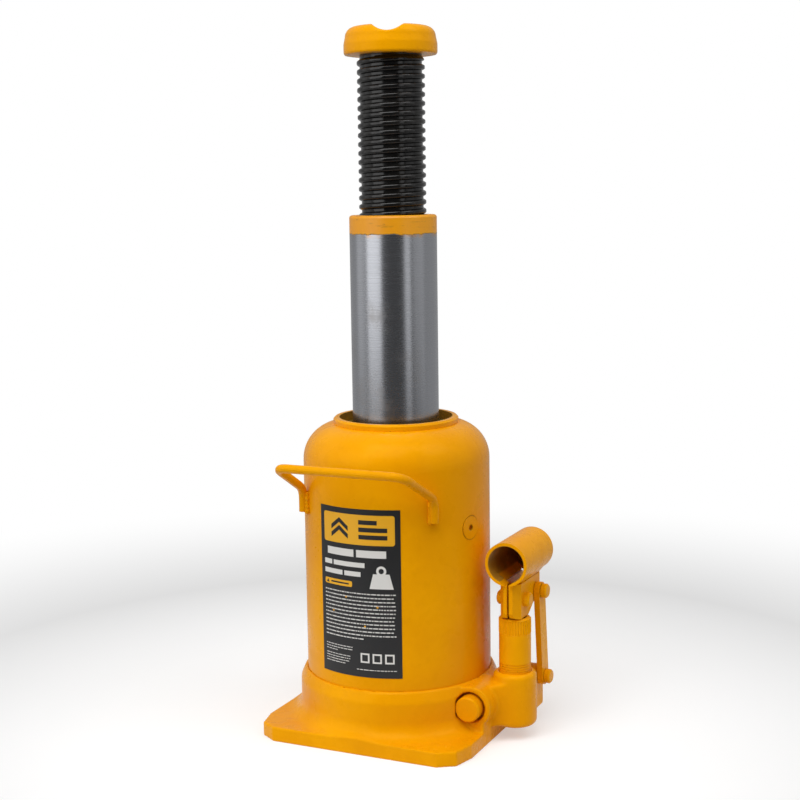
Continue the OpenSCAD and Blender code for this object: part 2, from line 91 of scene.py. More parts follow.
def make_camera():
    """Camera at the angle, height and lens of the reference view."""
    turn = Matrix.Rotation(CAMERA_AZIMUTH, 3, "Z")
    forward = turn @ Vector((
        math.sin(CAMERA_YAW) * math.cos(CAMERA_PITCH),
        math.cos(CAMERA_YAW) * math.cos(CAMERA_PITCH),
        -math.sin(CAMERA_PITCH)))
    level = turn @ Vector((math.cos(CAMERA_YAW), -math.sin(CAMERA_YAW), 0))
    raised = level.cross(forward)
    right = math.cos(CAMERA_ROLL) * level + math.sin(CAMERA_ROLL) * raised
    up = math.cos(CAMERA_ROLL) * raised - math.sin(CAMERA_ROLL) * level
    rotation = Matrix((right, up, -forward)).transposed()
    data = bpy.data.cameras.new("camera")
    data.lens = CAMERA_LENS
    data.sensor_width = 36
    data.clip_start = 0.05
    data.clip_end = 20
    camera = bpy.data.objects.new("camera", data)
    bpy.context.scene.collection.objects.link(camera)
    place = turn @ Vector((0, -CAMERA_DISTANCE, CAMERA_HEIGHT))
    camera.matrix_world = Matrix.Translation(place) @ rotation.to_4x4()
    bpy.context.scene.camera = camera


make_camera()


# ---------------------------------------------------------------- shader helpers

SOCKETS = {"specular_ior_level": "Specular IOR Level"}


class Shader:
    """A small builder round one material's node tree."""

    def __init__(self, name):
        self.material = bpy.data.materials.new(name)
        self.material.use_nodes = True
        self.tree = self.material.node_tree
        self.bsdf = self.tree.nodes["Principled BSDF"]
        self.coord = self.node("ShaderNodeTexCoord").outputs["Object"]

    def node(self, kind, **values):
        made = self.tree.nodes.new(kind)
        for key, value in values.items():
            setattr(made, key, value)
        return made

    def link(self, source, target):
        self.tree.links.new(source, target)

    def set(self, **values):
        for key, value in values.items():
            self.bsdf.inputs[SOCKETS.get(key, key.replace("_", " ").title())].default_value = value

    def put(self, value, socket):
        if isinstance(value, bpy.types.NodeSocket):
            self.link(value, socket)
        else:
            socket.default_value = value

    def stretched(self, scale):
        mapping = self.node("ShaderNodeMapping")
        mapping.inputs["Scale"].default_value = scale
        self.link(self.coord, mapping.inputs["Vector"])
        return mapping.outputs["Vector"]

    def noise(self, scale, detail=3.0, rough=0.55, vector=None):
        made = self.node("ShaderNodeTexNoise")
        made.inputs["Scale"].default_value = scale
        made.inputs["Detail"].default_value = detail
        made.inputs["Roughness"].default_value = rough
        self.link(vector or self.coord, made.inputs["Vector"])
        return made.outputs["Fac"]

    def ramp(self, value, low, high, start=0.0, end=1.0):
        made = self.node("ShaderNodeMapRange", interpolation_type="SMOOTHSTEP")
        self.link(value, made.inputs["Value"])
        limits = {"From Min": low, "From Max": high, "To Min": start, "To Max": end}
        for key, number in limits.items():
            made.inputs[key].default_value = number
        return made.outputs["Result"]

    def math(self, operation, a, b=0.0):
        made = self.node("ShaderNodeMath", operation=operation)
        self.put(a, made.inputs[0])
        self.put(b, made.inputs[1])
        return made.outputs[0]

    def mix(self, factor, a, b):
        made = self.node("ShaderNodeMix", data_type="RGBA")
        self.put(factor, made.inputs["Factor"])
        for value, socket in ((a, made.inputs[6]), (b, made.inputs[7])):
            self.put(value if isinstance(value, bpy.types.NodeSocket) else (*value, 1), socket)
        return made.outputs[2]

    def bump(self, height, strength, distance, normal=None):
        made = self.node("ShaderNodeBump")
        made.inputs["Strength"].default_value = strength
        made.inputs["Distance"].default_value = distance
        self.link(height, made.inputs["Height"])
        if normal:
            self.link(normal, made.inputs["Normal"])
        return made.outputs["Normal"]

    def axis(self, name):
        made = self.node("ShaderNodeSeparateXYZ")
        self.link(self.coord, made.inputs[0])
        return made.outputs[name]

    def edges(self, radius):
        """How far the surface turns within a radius: 0 on the flat, more at an edge."""
        bevel = self.node("ShaderNodeBevel", samples=4)
        bevel.inputs["Radius"].default_value = radius
        plain = self.node("ShaderNodeNewGeometry").outputs["Normal"]
        dot = self.node("ShaderNodeVectorMath", operation="DOT_PRODUCT")
        self.link(bevel.outputs["Normal"], dot.inputs[0])
        self.link(plain, dot.inputs[1])
        return self.math("SUBTRACT", 1.0, dot.outputs["Value"])


# ---------------------------------------------------------------- materials

def enamel_colour(s, chip_size):
    """Yellow enamel's colour: slow drift, fine mottling, and chips at worn edges."""
    drift = s.ramp(s.noise(14, 2), 0.35, 0.65)
    mottle = s.noise(160, 4)
    colour = s.mix(s.math("MULTIPLY", drift, 0.6), YELLOW, YELLOW_DEEP)
    colour = s.mix(s.ramp(mottle, 0.45, 0.75, 0, 0.22), colour, YELLOW_DEEP)
    edge = s.ramp(s.edges(chip_size), 0.04, 0.22)
    breakup = s.ramp(s.noise(420, 5, 0.7), 0.60, 0.68)
    chips = s.math("MULTIPLY", edge, breakup)
    specks = s.ramp(s.noise(900, 1), 0.80, 0.83)
    worn = s.math("MAXIMUM", chips, s.math("MULTIPLY", specks, 0.5))
    return s.mix(worn, colour, (0.20, 0.085, 0.010))


def near_axis(s, point, outward, radius):
    """1 within a radius of the line that starts at a point and runs outward along Y or Z."""
    offset = s.node("ShaderNodeVectorMath", operation="SUBTRACT")
    s.link(s.coord, offset.inputs[0])
    offset.inputs[1].default_value = point
    across = s.node("ShaderNodeVectorMath", operation="MULTIPLY")
    s.link(offset.outputs[0], across.inputs[0])
    across.inputs[1].default_value = tuple(1 - abs(c) for c in outward)
    along = s.node("ShaderNodeVectorMath", operation="DOT_PRODUCT")
    s.link(offset.outputs[0], along.inputs[0])
    along.inputs[1].default_value = outward
    reach = s.node("ShaderNodeVectorMath", operation="LENGTH")
    s.link(across.outputs[0], reach.inputs[0])
    inside = s.ramp(reach.outputs["Value"], radius - 0.2 * MM, radius + 0.2 * MM, 1, 0)
    return s.math("MULTIPLY", inside, s.ramp(along.outputs["Value"], 0, 0.1 * MM))


def near_circle(s, centre, radius, width):
    """1 on a thin circle round a point of the surface, fading to 0 on both sides."""
    reach = s.node("ShaderNodeVectorMath", operation="DISTANCE")
    s.link(s.coord, reach.inputs[0])
    reach.inputs[1].default_value = centre
    inner = s.ramp(reach.outputs["Value"], radius - width, radius - 0.4 * width)
    outer = s.ramp(reach.outputs["Value"], radius + 0.4 * width, radius + width, 1, 0)
    return s.math("MULTIPLY", inner, outer)


def enamel(name, lumps=0.0, peel=0.10, bore=None, seam=None):
    """Glossy yellow enamel; lumps is how much of a rough casting shows through it.

    Inside a bore (point, direction out, radius) the colour is darkened as painted shade, with grime
    mottling it, and the surface is rougher.
    A seam (centre, radius, width, strength) is a dark round joint, or with radius 0 a pit painted
    dark as painted shade; both are sunk by a bump.
    """
    s = Shader(name)
    colour = enamel_colour(s, 0.9 * MM)
    rough = s.ramp(s.noise(60, 4), 0.3, 0.7, 0.22, 0.36)
    if bore:
        # Inside the bore: painted shade, with some grime, darkens the enamel and roughens it
        darkening = s.math("MULTIPLY", near_axis(s, *bore), s.ramp(s.noise(90, 4), 0.25, 0.6, 0.65, 1))
        colour = s.mix(darkening, colour, (0.40, 0.19, 0.02))
        rough = s.math("ADD", rough, s.math("MULTIPLY", darkening, 0.15))
    s.link(rough, s.bsdf.inputs["Roughness"])
    s.set(coat_weight=0.02, coat_roughness=0.12, specular_ior_level=0.21,
          specular_tint=(1.0, 0.62, 0.06, 1))
    normal = s.bump(s.noise(650, 2), peel, 0.25 * MM)
    if seam:
        # A dark joint ring, or with radius 0 a pit painted dark as painted shade of the hole
        line = near_circle(s, *seam[:3])
        colour = s.mix(s.math("MULTIPLY", line, seam[3]), colour, (0.16, 0.06, 0.003))
        normal = s.bump(s.math("SUBTRACT", 1.0, line), 0.8, 0.5 * MM, normal)
    if lumps:
        normal = s.bump(s.noise(120, 5, 0.6), lumps, 1.2 * MM, normal)
        normal = s.bump(s.noise(38, 2), lumps, 3.0 * MM, normal)
    s.link(colour, s.bsdf.inputs["Base Color"])
    s.link(normal, s.bsdf.inputs["Normal"])
    return s.material


def steel_surface(s, tint, rough_low, rough_high):
    """Ground steel: fine rings round Z, faint stains and rubbed patches."""
    rings = s.noise(1.0, 2, 0.6, s.stretched((6, 6, 2600)))
    stain = s.ramp(s.noise(22, 5, 0.65), 0.52, 0.75)
    colour = s.mix(s.ramp(rings, 0.3, 0.7, 0, 0.25), tint, tuple(0.8 * c for c in tint))
    colour = s.mix(s.math("MULTIPLY", stain, 0.35), colour, (0.30, 0.26, 0.22))
    rough = s.ramp(s.math("ADD", s.math("MULTIPLY", rings, 0.7), s.math("MULTIPLY", stain, 0.3)),
                   0.25, 0.75, rough_low, rough_high)
    return colour, rough, s.bump(rings, 0.05, 0.05 * MM)


def ground_steel(name, tint=(0.42, 0.43, 0.45), rough_low=0.17, rough_high=0.30):
    s = Shader(name)
    colour, rough, normal = steel_surface(s, tint, rough_low, rough_high)
    s.set(metallic=1.0)
    s.link(colour, s.bsdf.inputs["Base Color"])
    s.link(rough, s.bsdf.inputs["Roughness"])
    s.link(normal, s.bsdf.inputs["Normal"])
    return s.material


def painted_ram():
    """Ground steel with a hand-painted yellow band at the top, ragged along its lower edge."""
    s = Shader("ram_steel_and_band")
    steel, steel_rough, steel_normal = steel_surface(s, (0.43, 0.44, 0.47), 0.24, 0.36)
    paint = enamel_colour(s, 0.6 * MM)
    smear = s.ramp(s.noise(1.0, 4, 0.65, s.stretched((60, 60, 330))), 0.56, 0.70)
    paint = s.mix(s.math("MULTIPLY", smear, 0.6), paint, (0.30, 0.115, 0.004))
    scrape = s.ramp(s.noise(1.0, 5, 0.7, s.stretched((110, 110, 520))), 0.66, 0.72)
    paint = s.mix(s.math("MULTIPLY", scrape, 0.8), paint, (0.035, 0.026, 0.015))
    ragged = s.noise(170, 5, 0.65)
    line = s.math("ADD", s.axis("Z"), s.math("MULTIPLY", s.math("SUBTRACT", ragged, 0.5), 3.4 * MM))
    edge = RAM_TOP - PAINT_BAND
    band = s.ramp(line, edge - 0.15 * MM, edge + 0.15 * MM)
    film = s.math("MULTIPLY", s.ramp(line, edge - 3.0 * MM, edge, 0, 0.35),
                  s.ramp(ragged, 0.45, 0.6))
    cover = s.math("MAXIMUM", band, film)
    seam = s.math("SUBTRACT", band, s.ramp(line, edge + 0.2 * MM, edge + 0.9 * MM))
    paint = s.mix(s.math("MULTIPLY", seam, 0.55), paint, (0.16, 0.13, 0.01))
    s.link(s.mix(cover, steel, paint), s.bsdf.inputs["Base Color"])
    s.link(s.math("SUBTRACT", 1.0, band), s.bsdf.inputs["Metallic"])
    rough = s.node("ShaderNodeMix", data_type="FLOAT")
    s.link(band, rough.inputs["Factor"])
    s.link(steel_rough, rough.inputs[2])
    rough.inputs[3].default_value = 0.38
    s.link(rough.outputs[0], s.bsdf.inputs["Roughness"])
    brush = s.noise(1.0, 3, 0.6, s.stretched((60, 60, 420)))
    height = s.math("MULTIPLY", s.math("ADD", s.math("MULTIPLY", brush, 0.4), 0.6), band)
    s.link(s.bump(height, 0.55, 0.5 * MM, steel_normal), s.bsdf.inputs["Normal"])
    return s.material


def black_oxide(name):
    """Oiled black oxide: glossy, patchy, rubbed brighter along the crests."""
    s = Shader(name)
    patch = s.ramp(s.noise(90, 4), 0.35, 0.7)
    colour = s.mix(patch, (0.0030, 0.0027, 0.0026), (0.008, 0.007, 0.006))
    rub = s.math("MULTIPLY", s.ramp(s.edges(0.5 * MM), 0.03, 0.20),
                 s.ramp(s.noise(300, 4), 0.45, 0.7))
    colour = s.mix(s.math("MULTIPLY", rub, 0.5), colour, (0.06, 0.058, 0.055))
    s.link(colour, s.bsdf.inputs["Base Color"])
    s.link(s.ramp(s.noise(140, 5), 0.3, 0.7, 0.12, 0.24), s.bsdf.inputs["Roughness"])
    s.set(coat_weight=0.10, coat_roughness=0.06, specular_ior_level=0.42)
    s.link(s.bump(s.noise(700, 3), 0.16, 0.15 * MM), s.bsdf.inputs["Normal"])
    return s.material


def machined(name, tint, rough=0.35, dirt=(0.05, 0.04, 0.03), dirt_amount=0.4):
    """Turned metal with tool marks round Z and grime in patches."""
    s = Shader(name)
    marks = s.noise(1.0, 3, 0.6, s.stretched((30, 30, 1800)))
    darkening = s.ramp(s.noise(55, 5, 0.65), 0.42, 0.7, 0, dirt_amount)
    s.link(s.mix(darkening, tint, dirt), s.bsdf.inputs["Base Color"])
    s.link(s.ramp(marks, 0.3, 0.7, rough - 0.08, rough + 0.12), s.bsdf.inputs["Roughness"])
    s.set(metallic=1.0)
    s.link(s.bump(marks, 0.10, 0.1 * MM), s.bsdf.inputs["Normal"])
    return s.material


def rubber(name, tint=(0.018, 0.018, 0.019)):
    s = Shader(name)
    bloom = s.ramp(s.noise(130, 4), 0.4, 0.75, 0, 0.5)
    s.link(s.mix(bloom, tint, tuple(2.2 * c for c in tint)), s.bsdf.inputs["Base Color"])
    s.link(s.ramp(s.noise(300, 3), 0.3, 0.7, 0.45, 0.62), s.bsdf.inputs["Roughness"])
    s.link(s.bump(s.noise(900, 3), 0.15, 0.1 * MM), s.bsdf.inputs["Normal"])
    return s.material


def woven_mesh(name):
    s = Shader(name)
    wires = s.node("ShaderNodeTexWave", bands_direction="X")
    wires.inputs["Scale"].default_value = 900
    s.link(s.coord, wires.inputs["Vector"])
    across = s.node("ShaderNodeTexWave", bands_direction="Y")
    across.inputs["Scale"].default_value = 900
    s.link(s.coord, across.inputs["Vector"])
    weave = s.math("MAXIMUM", wires.outputs["Fac"], across.outputs["Fac"])
    s.link(s.mix(weave, (0.05, 0.05, 0.045), (0.55, 0.53, 0.48)), s.bsdf.inputs["Base Color"])
    s.set(metallic=0.9, roughness=0.4)
    s.link(s.bump(weave, 0.6, 0.2 * MM), s.bsdf.inputs["Normal"])
    return s.material


def printed_film(name, tint, rough=0.34):
    """Vinyl film or ink: fine grain, light scuffs."""
    s = Shader(name)
    grain = s.noise(1500, 2)
    scuff = s.ramp(s.noise(1.0, 4, 0.7, s.stretched((50, 50, 240))), 0.62, 0.8, 0, 0.25)
    worn = tuple(0.75 * c + 0.03 for c in tint)
    s.link(s.mix(scuff, tint, worn), s.bsdf.inputs["Base Color"])
    s.link(s.ramp(grain, 0.3, 0.7, rough - 0.05, rough + 0.08), s.bsdf.inputs["Roughness"])
    s.link(s.bump(grain, 0.05, 0.05 * MM), s.bsdf.inputs["Normal"])
    return s.material


SOCKET_AXIS = ((SOCKET_LOW.x + SOCKET_HIGH.x) / 2, SOCKET_HIGH.y - SOCKET_STOP,
               SOCKET_HIGH.z - SOCKET_OUT_R)
PLUG_FACE = (TANK_R * math.sin(PLUG_ANGLE), -TANK_R * math.cos(PLUG_ANGLE),
             (PLUG_LOW.z + PLUG_HIGH.z) / 2)

SMOOTH_ENAMEL = enamel("enamel_smooth", peel=0.09)
# Inside the tank's mouth the enamel is painted darker: painted shade with some grime
TANK_ENAMEL = enamel("enamel_on_tank", peel=0.09, bore=((0, 0, 0), (0, 0, 1), TANK_MOUTH_R),
                     seam=(PLUG_FACE, PLUG_R, 0.55 * MM, 0.5))
# The plug's centre pit is painted near-black: painted shade of the hole
PLUG_ENAMEL = enamel("enamel_on_plug", peel=0.12, seam=(PLUG_FACE, 0, PLUG_PIT_R, 0.98))
# The socket's bore is painted darker inside: painted shade with some grime
SOCKET_ENAMEL = enamel("enamel_on_socket", lumps=0.05, peel=0.12,
                       bore=(SOCKET_AXIS, (0, -1, 0), LEVER_BORE_R))
CAST_ENAMEL = enamel("enamel_on_casting", lumps=0.28, peel=0.12)
FORMED_ENAMEL = enamel("enamel_on_pressings", lumps=0.05, peel=0.12)
BLACK_OXIDE = black_oxide("black_oxide")
GROUND_STEEL = ground_steel("ground_steel")
BRIGHT_STEEL = ground_steel("bright_steel", (0.62, 0.62, 0.63), 0.10, 0.22)
ZINC = machined("zinc_plate", (0.60, 0.46, 0.10), 0.42, (0.06, 0.05, 0.02), 0.6)
BRONZE = machined("bronze", (0.50, 0.32, 0.13), 0.32)
COPPER = machined("copper", (0.66, 0.33, 0.18), 0.38)
SEAL_RUBBER = rubber("seal_rubber")
VINYL = printed_film("label_vinyl", (0.012, 0.012, 0.013))

FINISHES = {
    "base_casting": CAST_ENAMEL, "oil_tank": TANK_ENAMEL, "tank_gasket": SEAL_RUBBER,
    "pressure_cylinder": GROUND_STEEL, "cylinder_gasket": COPPER, "top_nut": ZINC,
    "rod_wiper": SEAL_RUBBER, "carry_handle": FORMED_ENAMEL, "filler_plug": PLUG_ENAMEL,
    "label_plate": VINYL, "pump_cylinder": FORMED_ENAMEL, "pump_packing": SEAL_RUBBER,
    "inlet_ball": BRIGHT_STEEL, "outlet_ball": BRIGHT_STEEL, "outlet_spring": BRIGHT_STEEL,
    "overload_screw": BLACK_OXIDE, "overload_spring": BRIGHT_STEEL, "overload_ball": BRIGHT_STEEL,
    "suction_filter": woven_mesh("filter_mesh"), "link_base_pin": FORMED_ENAMEL,
    "release_ball": BRIGHT_STEEL, "ram": painted_ram(), "ram_guide_ring": BRONZE,
    "ram_cup_seal": SEAL_RUBBER, "ram_seal_retainer": BRIGHT_STEEL, "screw_stop_ring": BLACK_OXIDE,
    "extension_screw": BLACK_OXIDE, "saddle": SMOOTH_ENAMEL, "pump_piston": FORMED_ENAMEL,
    "pump_piston_ring": SEAL_RUBBER, "handle_socket": SOCKET_ENAMEL, "piston_pin": FORMED_ENAMEL,
    "link_top_pin": FORMED_ENAMEL, "link_bars": FORMED_ENAMEL, "release_screw": FORMED_ENAMEL,
    "release_oring": SEAL_RUBBER,
}

for name, material in FINISHES.items():
    data = nodes[name].data
    data.materials.clear()
    data.materials.append(material)


# ---------------------------------------------------------------- mesh helpers

def add_piece(name, mesh, body, material, smooth_angle=None):
    """Links a mesh as a piece that rides on a body."""
    piece = bpy.data.objects.new(name, mesh)
    bpy.context.scene.collection.objects.link(piece)
    mesh.materials.append(material)
    if smooth_angle is not None:
        mesh.shade_smooth()
        mesh.set_sharp_from_angle(angle=math.radians(smooth_angle))
    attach(piece, body)
    return piece


def around(radius, angle, z):
    """A point at an angle from the front towards +X, in radians."""
    return Vector((radius * math.sin(angle), -radius * math.cos(angle), z))


# ---------------------------------------------------------------- extension screw

def boundary(work, z):
    """The open edges that lie at a height."""
    return [e for e in work.edges if e.is_boundary
            and all(abs(v.co.z - z) < 0.01 * MM for v in e.verts)]


def continue_lathe(work, edges, profile):
    """Carries an open round edge on through (radius, z) stations, and closes it."""
    for radius, z in profile:
        made = bmesh.ops.extrude_edge_only(work, edges=edges)["geom"]
        edges = [g for g in made if isinstance(g, bmesh.types.BMEdge)]
        for vert in {v for e in edges for v in e.verts}:
            flat = vert.co.xy.normalized() * radius
            vert.co = (flat.x, flat.y, z)
    bmesh.ops.contextual_create(work, geom=edges)


# One turn of the thread from root to root, as (share of the pitch, share of the depth)
THREAD_ROWS = [
    (0.00, 0.0), (0.15, 0.0), (0.25, 0.55), (0.32, 0.88), (0.40, 1.0),
    (0.64, 1.0), (0.72, 0.88), (0.79, 0.55), (0.89, 0.0)]


def screw_mesh():
    """The screw with its real right-hand thread, as one closed mesh."""
    steps = 96
    seat = SADDLE_LOW.z
    low = SCREW_LOW.z + THREAD_PITCH
    high = seat - 0.8 * MM
    turns = int((high - low) / THREAD_PITCH) + 3
    run_in = 1.2 * THREAD_PITCH
    run_out = 0.5 * THREAD_PITCH
    work = bmesh.new()
    rings = []
    for turn in range(turns):
        for share, depth in THREAD_ROWS:
            level = low + (turn - 1 + share) * THREAD_PITCH
            ring = []
            for step in range(steps):
                angle = 2 * math.pi * step / steps
                z = min(max(level + THREAD_PITCH * step / steps, low), high)
                fade = min(1, (z - low) / run_in, (high - z) / run_out)
                r = ROOT_R + (CREST_R - ROOT_R) * depth * fade
                ring.append(work.verts.new((r * math.cos(angle), r * math.sin(angle), z)))
            rings.append(ring)
    per_turn = len(THREAD_ROWS)
    for index in range(len(rings) - 1):
        for step in range(steps - 1):
            work.faces.new((rings[index][step], rings[index][step + 1],
                            rings[index + 1][step + 1], rings[index + 1][step]))
    # The last column joins the first one, a whole turn further on
    for index in range(len(rings) - per_turn - 1):
        work.faces.new((rings[index][-1], rings[index + per_turn][0],
                        rings[index + per_turn + 1][0], rings[index + 1][-1]))
    bmesh.ops.remove_doubles(work, verts=work.verts, dist=0.002 * MM)
    bmesh.ops.dissolve_degenerate(work, edges=work.edges, dist=0.002 * MM)
    groove_low = SCREW_LOW.z + 1.9 * MM
    groove_high = groove_low + 2.2 * MM
    chamfer = 0.8 * MM
    continue_lathe(work, boundary(work, low), [
        (ROOT_R, groove_high), (STOP_GROOVE_R, groove_high), (STOP_GROOVE_R, groove_low),
        (ROOT_R, groove_low), (ROOT_R, SCREW_LOW.z + chamfer), (ROOT_R - chamfer, SCREW_LOW.z)])
    continue_lathe(work, boundary(work, high), [
        (ROOT_R, seat), (SHANK_R, seat), (SHANK_R, SCREW_HIGH.z)])
    bmesh.ops.recalc_face_normals(work, faces=work.faces)
    mesh = bpy.data.meshes.new("threaded_screw")
    work.to_mesh(mesh)
    work.free()
    return mesh


screw = add_piece("threaded_screw", screw_mesh(), "screw", BLACK_OXIDE, 50)
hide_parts("extension_screw")


# ---------------------------------------------------------------- label print

# The label is laid out flat in millimetres, from the middle of its lower edge
LABEL_R = TANK_R + LABEL_T
INK = 0.05


def bar(u0, u1, v0, v1):
    return [(u0, v0), (u1, v0), (u1, v1), (u0, v1)]


def rounded_bar(u0, u1, v0, v1, r):
    """A bar with round corners, going round anticlockwise."""
    corners = ((u1 - r, v0 + r, -90), (u1 - r, v1 - r, 0),
               (u0 + r, v1 - r, 90), (u0 + r, v0 + r, 180))
    points = []
    for u, v, start in corners:
        for turn in range(0, 91, 30):
            angle = math.radians(start + turn)
            points.append((u + r * math.cos(angle), v + r * math.sin(angle)))
    return points


def ring_strips(u, v, r_out, r_in, sides=24):
    """A ring as a run of four-sided patches."""
    def at(r, k):
        angle = 2 * math.pi * k / sides
        return (u + r * math.cos(angle), v + r * math.sin(angle))
    return [[at(r_in, k), at(r_out, k), at(r_out, k + 1), at(r_in, k + 1)] for k in range(sides)]


def ink_mesh(name, shapes, level):
    """Flat shapes in label millimetres, wrapped round the tank as a thin closed film."""
    work = bmesh.new()
    for shape in shapes:
        work.faces.new([work.verts.new((u, v, 0)) for u, v in shape])
    bmesh.ops.remove_doubles(work, verts=work.verts, dist=0.001)
    for cut in range(-20, 21):
        geometry = list(work.verts) + list(work.edges) + list(work.faces)
        bmesh.ops.bisect_plane(work, geom=geometry, plane_co=(1.5 * cut, 0, 0), plane_no=(1, 0, 0))
    made = bmesh.ops.extrude_face_region(work, geom=list(work.faces), use_keep_orig=True)["geom"]
    for vert in (g for g in made if isinstance(g, bmesh.types.BMVert)):
        vert.co.z = INK
    bmesh.ops.recalc_face_normals(work, faces=work.faces)
    for vert in work.verts:
        u, v, w = vert.co
        vert.co = around(LABEL_R + (level + w) * MM, u * MM / LABEL_R, LABEL_LOW.z + v * MM)
    mesh = bpy.data.meshes.new(name)
    work.to_mesh(mesh)
    work.free()
    return mesh


def text_rows(u0, u1, v_top, count, step, height, last=1.0):
    """Rows of short dashes, as blocks of small print look from a distance."""
    shapes = []
    for row in range(count):
        v = v_top - row * step
        end = u1 if row < count - 1 else u0 + (u1 - u0) * last
        u = u0
        while u < end - 1.2:
            width = min(random.uniform(0.7, 3.6), end - u)
            shapes.append(bar(u, u + width, v - height, v))
            u += width + 0.55
    return shapes


def weight_icon(u, v, size):
    """A plain workshop weight: a trapezium body under a ring."""
    body = [(u - size, v), (u + size, v),
            (u + 0.68 * size, v + 1.25 * size), (u - 0.68 * size, v + 1.25 * size)]
    return [body] + ring_strips(u, v + 1.5 * size, 0.42 * size, 0.22 * size)


def chevron(u, v, half, rise, thick):
    """An upward chevron in two strokes."""
    return [
        [(u - half, v), (u, v + rise), (u, v + rise + thick), (u - half, v + thick)],
        [(u, v + rise), (u + half, v), (u + half, v + thick), (u, v + rise + thick)]]


def make_label():
    left, right = -27.0, 27.0
    yellow = [rounded_bar(left, right, 91, 111.5, 1.6), rounded_bar(left, -3.5, 61.6, 65.6, 1.0)]
    black = (chevron(-13, 94.5, 7, 5.5, 3.2) + chevron(-13, 99.8, 7, 5.5, 3.2)
             + [bar(2, 22, 95, 98), bar(2, 22, 100, 103), bar(2, 15, 105, 108)]
             + [[(-25.5, 62.5), (-22.9, 62.5), (-24.2, 64.8)], bar(-21, -6, 63.1, 64.1)])
    white = [bar(left + 3, -2, 82.5, 87.5), bar(0, right - 6, 82.5, 87.5)]
    white += [bar(left, -20, 75.5, 78.8), bar(-18.5, 6, 75.5, 78.8), bar(left, -11, 69.2, 72.5),
              bar(-9.5, 3, 69.2, 72.5)]
    white += weight_icon(17.5, 61.5, 8.2)
    white += text_rows(left, right, 58.0, 13, 2.6, 0.75, 0.6)
    white += text_rows(left, -3, 20.0, 3, 1.8, 0.5, 0.5)
    white += text_rows(left, -6, 13.5, 4, 1.8, 0.5, 0.8)
    white += text_rows(-1, right, 5.4, 1, 1.8, 0.5)
    for index in range(3):
        u = 2 + 8.6 * index
        white += [bar(u, u + 6.4, 10, 11.1), bar(u, u + 6.4, 15.6, 16.7),
                  bar(u, u + 1.1, 11.1, 15.6), bar(u + 5.3, u + 6.4, 11.1, 15.6)]
    dots = [rounded_bar(u, u + 1.2, v, v + 1.2, 0.4)
            for u, v in ((-9, 53.9), (14, 48.4), (-20, 42.9), (5, 34.7))]
    white_ink = printed_film("ink_white", (0.72, 0.71, 0.68), 0.42)
    yellow_ink = printed_film("ink_yellow", (0.84, 0.42, 0.01), 0.38)
    black_ink = printed_film("ink_black", (0.012, 0.012, 0.012), 0.36)
    for name, shapes, level, ink in (
            ("label_print_white", white, 0.01, white_ink),
            ("label_print_yellow", yellow, 0.01, yellow_ink),
            ("label_print_marks", dots, 0.07, yellow_ink),
            ("label_print_black", black, 0.07, black_ink)):
        add_piece(name, ink_mesh(name, shapes, level), "base", ink)


make_label()


# ---------------------------------------------------------------- welds

def weld_mesh(name, side):
    """A lumpy fillet weld down both sides of one leg of the carry handle."""
    work = bmesh.new()
    for edge in (-1, 1):
        for step in range(9):
            z = HANDLE_LOW.z + (0.2 + 1.5 * step) * MM
            spread = (2.1 + random.uniform(-0.3, 0.3)) * MM / TANK_R
            centre = around(TANK_R + 0.9 * MM, side * HANDLE_LEG_ANGLE + edge * spread, z)
            radius = (1.9 + random.uniform(-0.25, 0.35)) * MM
            bmesh.ops.create_icosphere(work, subdivisions=2, radius=radius,
                                       matrix=Matrix.Translation(centre))
    mesh = bpy.data.meshes.new(name)
    work.to_mesh(mesh)
    work.free()
    return mesh


def fuse(piece, voxel, rounds):
    """Remeshes a piece to one closed skin and smooths it."""
    remesh = piece.modifiers.new("fuse", "REMESH")
    remesh.mode = "VOXEL"
    remesh.voxel_size = voxel
    smooth = piece.modifiers.new("soften", "SMOOTH")
    smooth.factor = 0.5
    smooth.iterations = rounds
    bpy.context.view_layer.update()
    graph = bpy.context.evaluated_depsgraph_get()
    result = bpy.data.meshes.new_from_object(piece.evaluated_get(graph))
    piece.modifiers.clear()
    piece.data = result
    result.shade_smooth()


def softened(name, node, body, paint, voxel, rounds):
    """A node again with the soft edges of a casting or forging, and its underside kept flat."""
    source = nodes[node]
    mesh = source.data.copy()
    mesh.transform(source.matrix_world)
    mesh.materials.clear()
    piece = add_piece(name, mesh, body, paint)
    fuse(piece, voxel, rounds)
    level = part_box(node)[0].z
    for vert in piece.data.vertices:
        if vert.co.z < level + 0.25 * MM:
            vert.co.z = level
    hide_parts(node)


softened("cast_base", "base_casting", "base", CAST_ENAMEL, 1.0 * MM, 9)
softened("forged_saddle", "saddle", "screw", FORMED_ENAMEL, 0.6 * MM, 8)

for side, name in ((-1, "handle_weld_left"), (1, "handle_weld_right")):
    weld = add_piece(name, weld_mesh(name, side), "base", FORMED_ENAMEL)
    fuse(weld, 0.35 * MM, 3)


# ---------------------------------------------------------------- stage and light

# Brightness of the backdrop to the camera, and of the room to everything else: from behind
# the jack to behind the camera, fading between two shares of the way
BACKDROP = 1.0
ROOM_BACK = 0.40
ROOM_FRONT = 0.07
ROOM_FADE = (-0.3, 0.9)
FLOOR_NEAR = 0.42


